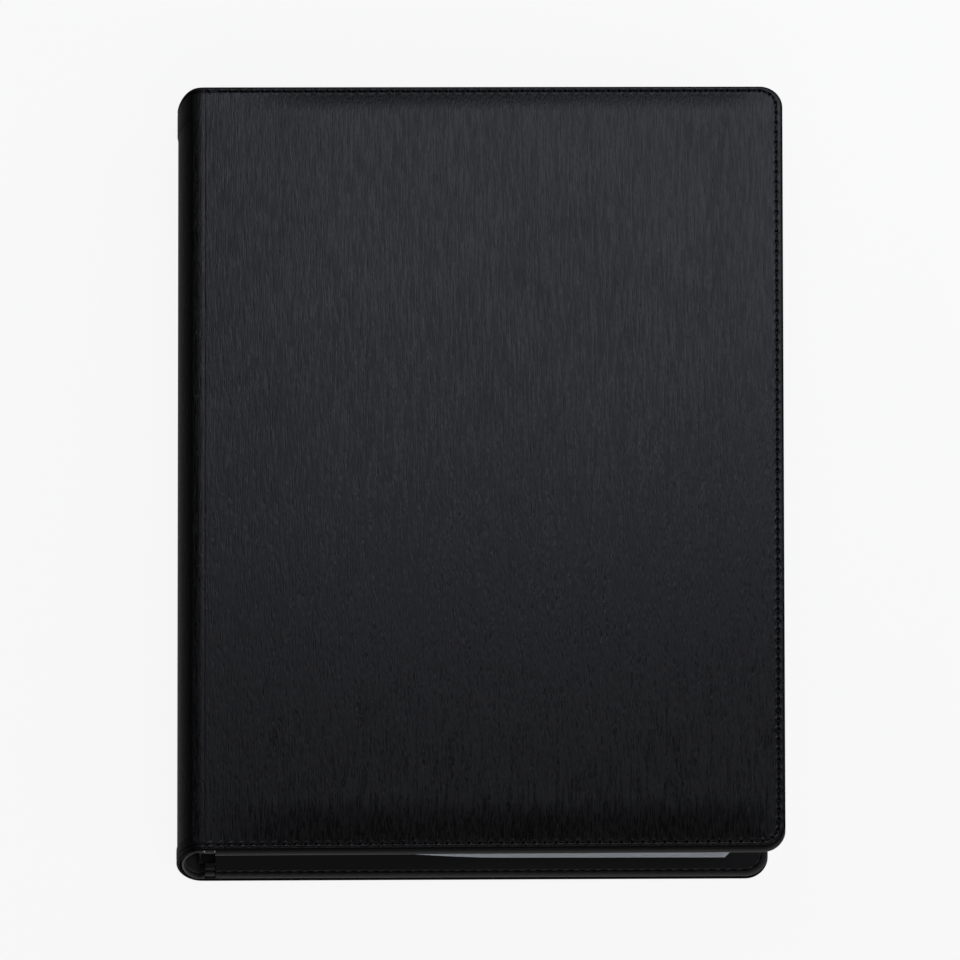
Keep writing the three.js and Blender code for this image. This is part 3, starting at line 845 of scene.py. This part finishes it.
def make_pages():
    """The clear pockets' margins, the inserts and the weld that binds them."""
    size = sizes()
    leaf, margin = size["leaf"], size["film_margin"]
    low, high = BLOCK_LOW, BLOCK_HIGH
    film, inserts = [], []
    for number in range(LEAF_COUNT):
        share = number / (LEAF_COUNT - 1)
        end = high[0] - (1 - share) * LOW_LEAF_SHORTER
        film.append(leaf_sheet(number, low[0], end, low[1], low[1] + margin, leaf, 0.0))
        film.append(leaf_sheet(number, end - margin, end, low[1] + margin + FILM_GAP, high[1], leaf, 0.0))
        inserts.append(leaf_sheet(number, low[0], end - margin, low[1] + margin, high[1], leaf, INSERT_EASE))
    sleeves = join_lofts("film_margins", film, bpy.data.materials["clear_film"])
    sheets = join_lofts("black_inserts", inserts, bpy.data.materials["inserts_under_film"])
    right, top = CREASE_X + WELD_END + WELD_OVERLAP, BOUND_BASE + BOUND_THICKNESS
    weld = [[(low[0], y, BOUND_BASE), (right, y, BOUND_BASE), (right, y, top), (low[0], y, top)]
            for y in (low[1], high[1])]
    bound = join_lofts("page_weld", [weld], bpy.data.materials["clear_film"])
    for piece in (sleeves, sheets, bound):
        point_faces_out(piece, 30)
        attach(piece, "back_cover")
    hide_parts("page_block")


# The strips inside the creases

STRIP_ON_COVER = 8.0
STRIP_ON_SPINE_DEGREES = 24
STRIP_END_GAP = 6.0
STRIP_EASE = 0.05
STRIP_FROM = 0.4
STRIP_STEPS = 12


def make_hinge_strip(cover, upper):
    """A thin strip of lining that bridges a crease on the inside."""
    thin, top = cover.size["hinge_lining"], COVER_EDGE - cover.size["pocket"] * 2
    turns = np.radians(np.linspace(STRIP_ON_SPINE_DEGREES, 0, STRIP_STEPS))
    if not upper:
        turns = math.pi - turns
    rows = []
    for y in (-HALF_HEIGHT + STRIP_END_GAP, HALF_HEIGHT - STRIP_END_GAP):
        faces = []
        for depth in (top + STRIP_EASE, top + STRIP_EASE + thin):
            on_spine = spine_points(turns, np.full_like(turns, depth), y)
            x = np.linspace(STRIP_FROM, STRIP_ON_COVER, STRIP_STEPS)
            on_cover = cover.place(x, np.full_like(x, y), np.full_like(x, depth))
            faces.append(np.concatenate([on_spine, on_cover]))
        rows.append(np.concatenate([faces[0], faces[1][::-1]]))
    piece = join_lofts(f"{cover.name}_hinge_lining", [rows], bpy.data.materials["smooth_leather_cloth"])
    point_faces_out(piece, 60)
    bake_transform(piece)


# Operators


class BOOK_OT_front_cover(bpy.types.Operator):
    """The padded front cover: skin, inside pocket and stitching"""
    bl_idname = "book.front_cover"
    bl_label = "Front cover"

    def execute(self, context):
        cover = front()
        inside = front(cover.size["pocket_lap"])
        make_skin(cover, bpy.data.materials["brushed_leather_cloth"])
        make_pocket(inside, bpy.data.materials["smooth_leather_cloth"])
        thread = bpy.data.materials["polyester_thread"]
        make_stitches(cover, "front_stitches", thread, 0.0, 1)
        make_stitches(inside, "front_inner_stitches", thread, COVER_EDGE, -1)
        make_hinge_strip(cover, True)
        return {"FINISHED"}


class BOOK_OT_back_cover(bpy.types.Operator):
    """The flat back cover: skin, inside pocket and stitching"""
    bl_idname = "book.back_cover"
    bl_label = "Back cover"

    def execute(self, context):
        cover = back()
        make_skin(cover, bpy.data.materials["brushed_leather_cloth"])
        make_pocket(cover, bpy.data.materials["smooth_leather_cloth"])
        thread = bpy.data.materials["polyester_thread"]
        make_stitches(cover, "back_stitches", thread, 0.0, 1)
        make_stitches(cover, "back_inner_stitches", thread, COVER_EDGE, -1)
        make_hinge_strip(cover, False)
        return {"FINISHED"}


class BOOK_OT_spine(bpy.types.Operator):
    """The soft spine: skin, stiffener and liner"""
    bl_idname = "book.spine"
    bl_label = "Spine"

    def execute(self, context):
        size = sizes()
        skin, lining = size["skin"], size["lining"]
        skin_hem = (SPINE_WALL - SPINE_SEAM) / 2

        def between(middle, crease):
            return lambda turn: middle + (crease - middle) * flare(turn)

        def level(depth):
            return lambda turn: np.full_like(turn, depth)

        leather = bpy.data.materials["brushed_leather_cloth"]
        smooth = bpy.data.materials["smooth_leather_cloth"]
        piece = spine_layer("spine_skin_cloth", leather, level(0), level(skin), level(0),
                            between(skin_hem, SKIN_HEM), True)
        finish_spine_piece(piece, "spine_skin")
        girth = length_of(spine_points(np.linspace(0, math.pi, GIRTH_POINTS), np.zeros(GIRTH_POINTS), 0))
        lining_depth = COVER_EDGE - size["pocket"] * 2 - lining
        outer = between(SPINE_WALL - lining, lining_depth)
        piece = spine_layer("spine_liner_cloth", smooth, outer, lambda turn: outer(turn) + lining,
                            between(SPINE_WALL - skin_hem, LINING_HEM), between(SPINE_WALL, COVER_EDGE),
                            False)
        finish_spine_piece(piece, "spine_liner")
        box_low, box_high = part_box("spine_stiffener")
        turns = np.radians(np.linspace(STIFFENER_FROM, 180 - STIFFENER_FROM, STIFFENER_POINTS))
        outer = np.full_like(turns, STIFFENER_DEPTH)
        rings = spine_sheet(turns, outer, outer + STIFFENER, box_low.y / MM, box_high.y / MM)
        piece = join_lofts("spine_stiffener_sheet", [rings], bpy.data.materials["black_polypropylene"])
        finish_spine_piece(piece, "spine_stiffener")
        return {"FINISHED"}


class BOOK_OT_pages(bpy.types.Operator):
    """The pages: black inserts in clear pockets, welded along the bound edge"""
    bl_idname = "book.pages"
    bl_label = "Pages"

    def execute(self, context):
        make_pages()
        return {"FINISHED"}


class BOOK_OT_studio(bpy.types.Operator):
    """The floor, the soft lights, the world and the camera"""
    bl_idname = "book.studio"
    bl_label = "Studio"

    def execute(self, context):
        make_floor()
        make_lights()
        make_world()
        make_camera()
        return {"FINISHED"}


# The studio

CAMERA_ELEVATION = 67.15
CAMERA_LENS = 1600.0
CAMERA_ROLL = -0.08
SENSOR = 36.0
FRAME_WIDTH = 377.0
AIM = (-0.125, 0.65, 15.5)
FLOOR_RADIUS = 6.0
FLOOR_SIDES = 96
FLOOR_GLOW = 0.9
ROOM_STRENGTH = 0.03
WINDOW_STRENGTH = 1.3
WINDOW_TOWARD = (0.42, -0.907, 0.0)
WINDOW_FROM = 0.35
WINDOW_FULL = 0.75
LAMP_TINT = (0.94, 0.97, 1.12)
ROOM_TINT = (1.0, 1.0, 0.98, 1.0)
SOFTBOXES = {
    # name: position, width, height (metres) and watts; each faces the book
    "head_softbox": ((0.244, 0.43, 0.50), 1.39, 0.42, 2.15),
}


def make_floor():
    """A round floor at the height of the back cover's underside."""
    deselect_all()
    bpy.ops.mesh.primitive_circle_add(vertices=FLOOR_SIDES, radius=FLOOR_RADIUS, fill_type="NGON",
                                      location=(0, 0, 0))
    floor = bpy.context.object
    floor.name = "studio_floor"
    floor.data.materials.append(pale_floor("pale_painted_floor", colours().floor))
    deselect_all()


def aim_at(item, place, target):
    """Points an item at a target, with its width level with the book's own width as far as can be."""
    backwards = (Vector(place) - Vector(target)).normalized()
    across = Vector((0, 1, 0)).cross(backwards).normalized()
    upwards = backwards.cross(across)
    item.location = place
    item.rotation_euler = Matrix((across, upwards, backwards)).transposed().to_euler()


def make_lights():
    """One broad softbox beyond the head of the book."""
    for name, (place, width, height, watts) in SOFTBOXES.items():
        light = bpy.data.lights.new(name, "AREA")
        light.shape = "RECTANGLE"
        light.size, light.size_y, light.energy = width, height, watts
        light.color = LAMP_TINT
        lamp = bpy.data.objects.new(name, light)
        bpy.context.scene.collection.objects.link(lamp)
        aim_at(lamp, place, (0, 0, 0))


def make_world():
    """A dim room with one broad bright side, before the foot of the book and a little to its right."""
    world = bpy.data.worlds.new("studio_room")
    bpy.context.scene.world = world
    world.use_nodes = True
    tree = world.node_tree
    direction = add_node(tree, "ShaderNodeTexCoord").outputs["Generated"]
    toward = add_node(tree, "ShaderNodeVectorMath", {0: direction, 1: WINDOW_TOWARD}, operation="DOT_PRODUCT")
    shade = add_node(tree, "ShaderNodeMapRange",
                     {"Value": toward.outputs["Value"], "From Min": WINDOW_FROM, "From Max": WINDOW_FULL,
                      "To Min": ROOM_STRENGTH, "To Max": WINDOW_STRENGTH}, interpolation_type="SMOOTHSTEP")
    background = tree.nodes["Background"]
    background.inputs["Color"].default_value = ROOM_TINT
    tree.links.new(shade.outputs["Result"], background.inputs["Strength"])


def make_camera():
    """A long lens that looks down on the book from before its foot."""
    camera = bpy.data.cameras.new("camera")
    camera.lens, camera.sensor_width = CAMERA_LENS, SENSOR
    distance = FRAME_WIDTH * MM * CAMERA_LENS / SENSOR
    camera.clip_start, camera.clip_end = 0.1, 2 * distance
    viewer = bpy.data.objects.new("camera", camera)
    bpy.context.scene.collection.objects.link(viewer)
    turn = math.radians(CAMERA_ELEVATION)
    away = Vector((0, -math.cos(turn), math.sin(turn)))
    target = Vector(AIM) * MM
    aim_at(viewer, target + away * distance, target)
    viewer.rotation_euler.rotate_axis("Z", math.radians(CAMERA_ROLL))
    bpy.context.scene.camera = viewer


def make_materials():
    """One material for each real finish."""
    tint = colours()
    brushed_leather_cloth("brushed_leather_cloth", tint.skin)
    smooth_leather_cloth("smooth_leather_cloth", tint.lining)
    twisted_thread("polyester_thread", tint.thread)
    matt_sheet("black_polypropylene", tint.sheet, 0.35, 0.5)
    clear_film("clear_film", tint.film)
    insert_under_film("inserts_under_film", tint.insert)
    matt_sheet("foam_sheet", tint.foam, 0.95, 0.8)
    matt_sheet("greyboard", tint.board, 0.9, 0.6)


NODE_FINISH = {
    "back_padding": "foam_sheet", "front_padding": "foam_sheet",
    "back_board": "greyboard", "front_board": "greyboard",
    "back_lining": "smooth_leather_cloth", "front_lining": "smooth_leather_cloth",
    "backing_sheet": "black_polypropylene", "spine_stiffener": "black_polypropylene",
}


class BOOK_OT_carried_pieces(bpy.types.Operator):
    """The finishes of the pieces that keep their plain form"""
    bl_idname = "book.carried_pieces"
    bl_label = "Boards, foam and sheets"

    def execute(self, context):
        for node, finish in NODE_FINISH.items():
            slots = frame["nodes"][node].data.materials
            slots.clear()
            slots.append(bpy.data.materials[finish])
        return {"FINISHED"}


class BOOK_OT_materials(bpy.types.Operator):
    """The finishes of the book's pieces"""
    bl_idname = "book.materials"
    bl_label = "Materials"

    def execute(self, context):
        make_materials()
        return {"FINISHED"}


OPERATORS = (BOOK_OT_materials, BOOK_OT_front_cover, BOOK_OT_back_cover, BOOK_OT_spine, BOOK_OT_pages,
             BOOK_OT_carried_pieces, BOOK_OT_studio)


class BOOK_PT_panel(bpy.types.Panel):
    """The steps that build the book"""
    bl_label = "Display Book"
    bl_idname = "BOOK_PT_panel"
    bl_space_type = "VIEW_3D"
    bl_region_type = "UI"
    bl_category = "Display Book"

    def draw(self, context):
        for operator in OPERATORS:
            self.layout.operator(operator.bl_idname)


def register():
    """Adds the sizes, colours, operators and panel to Blender."""
    for kind in (BookSizes, BookColours, *OPERATORS, BOOK_PT_panel):
        bpy.utils.register_class(kind)
    bpy.types.Scene.book_sizes = bpy.props.PointerProperty(type=BookSizes)
    bpy.types.Scene.book_colours = bpy.props.PointerProperty(type=BookColours)


def unregister():
    """Takes them away again."""
    del bpy.types.Scene.book_colours
    del bpy.types.Scene.book_sizes
    for kind in reversed((BookSizes, BookColours, *OPERATORS, BOOK_PT_panel)):
        bpy.utils.unregister_class(kind)


def main():
    """Builds the book step by step."""
    register()
    for operator in OPERATORS:
        group, name = operator.bl_idname.split(".")
        getattr(getattr(bpy.ops, group), name)()
    bpy.context.scene.view_settings.view_transform = "Standard"


if __name__ == "__main__":
    main()
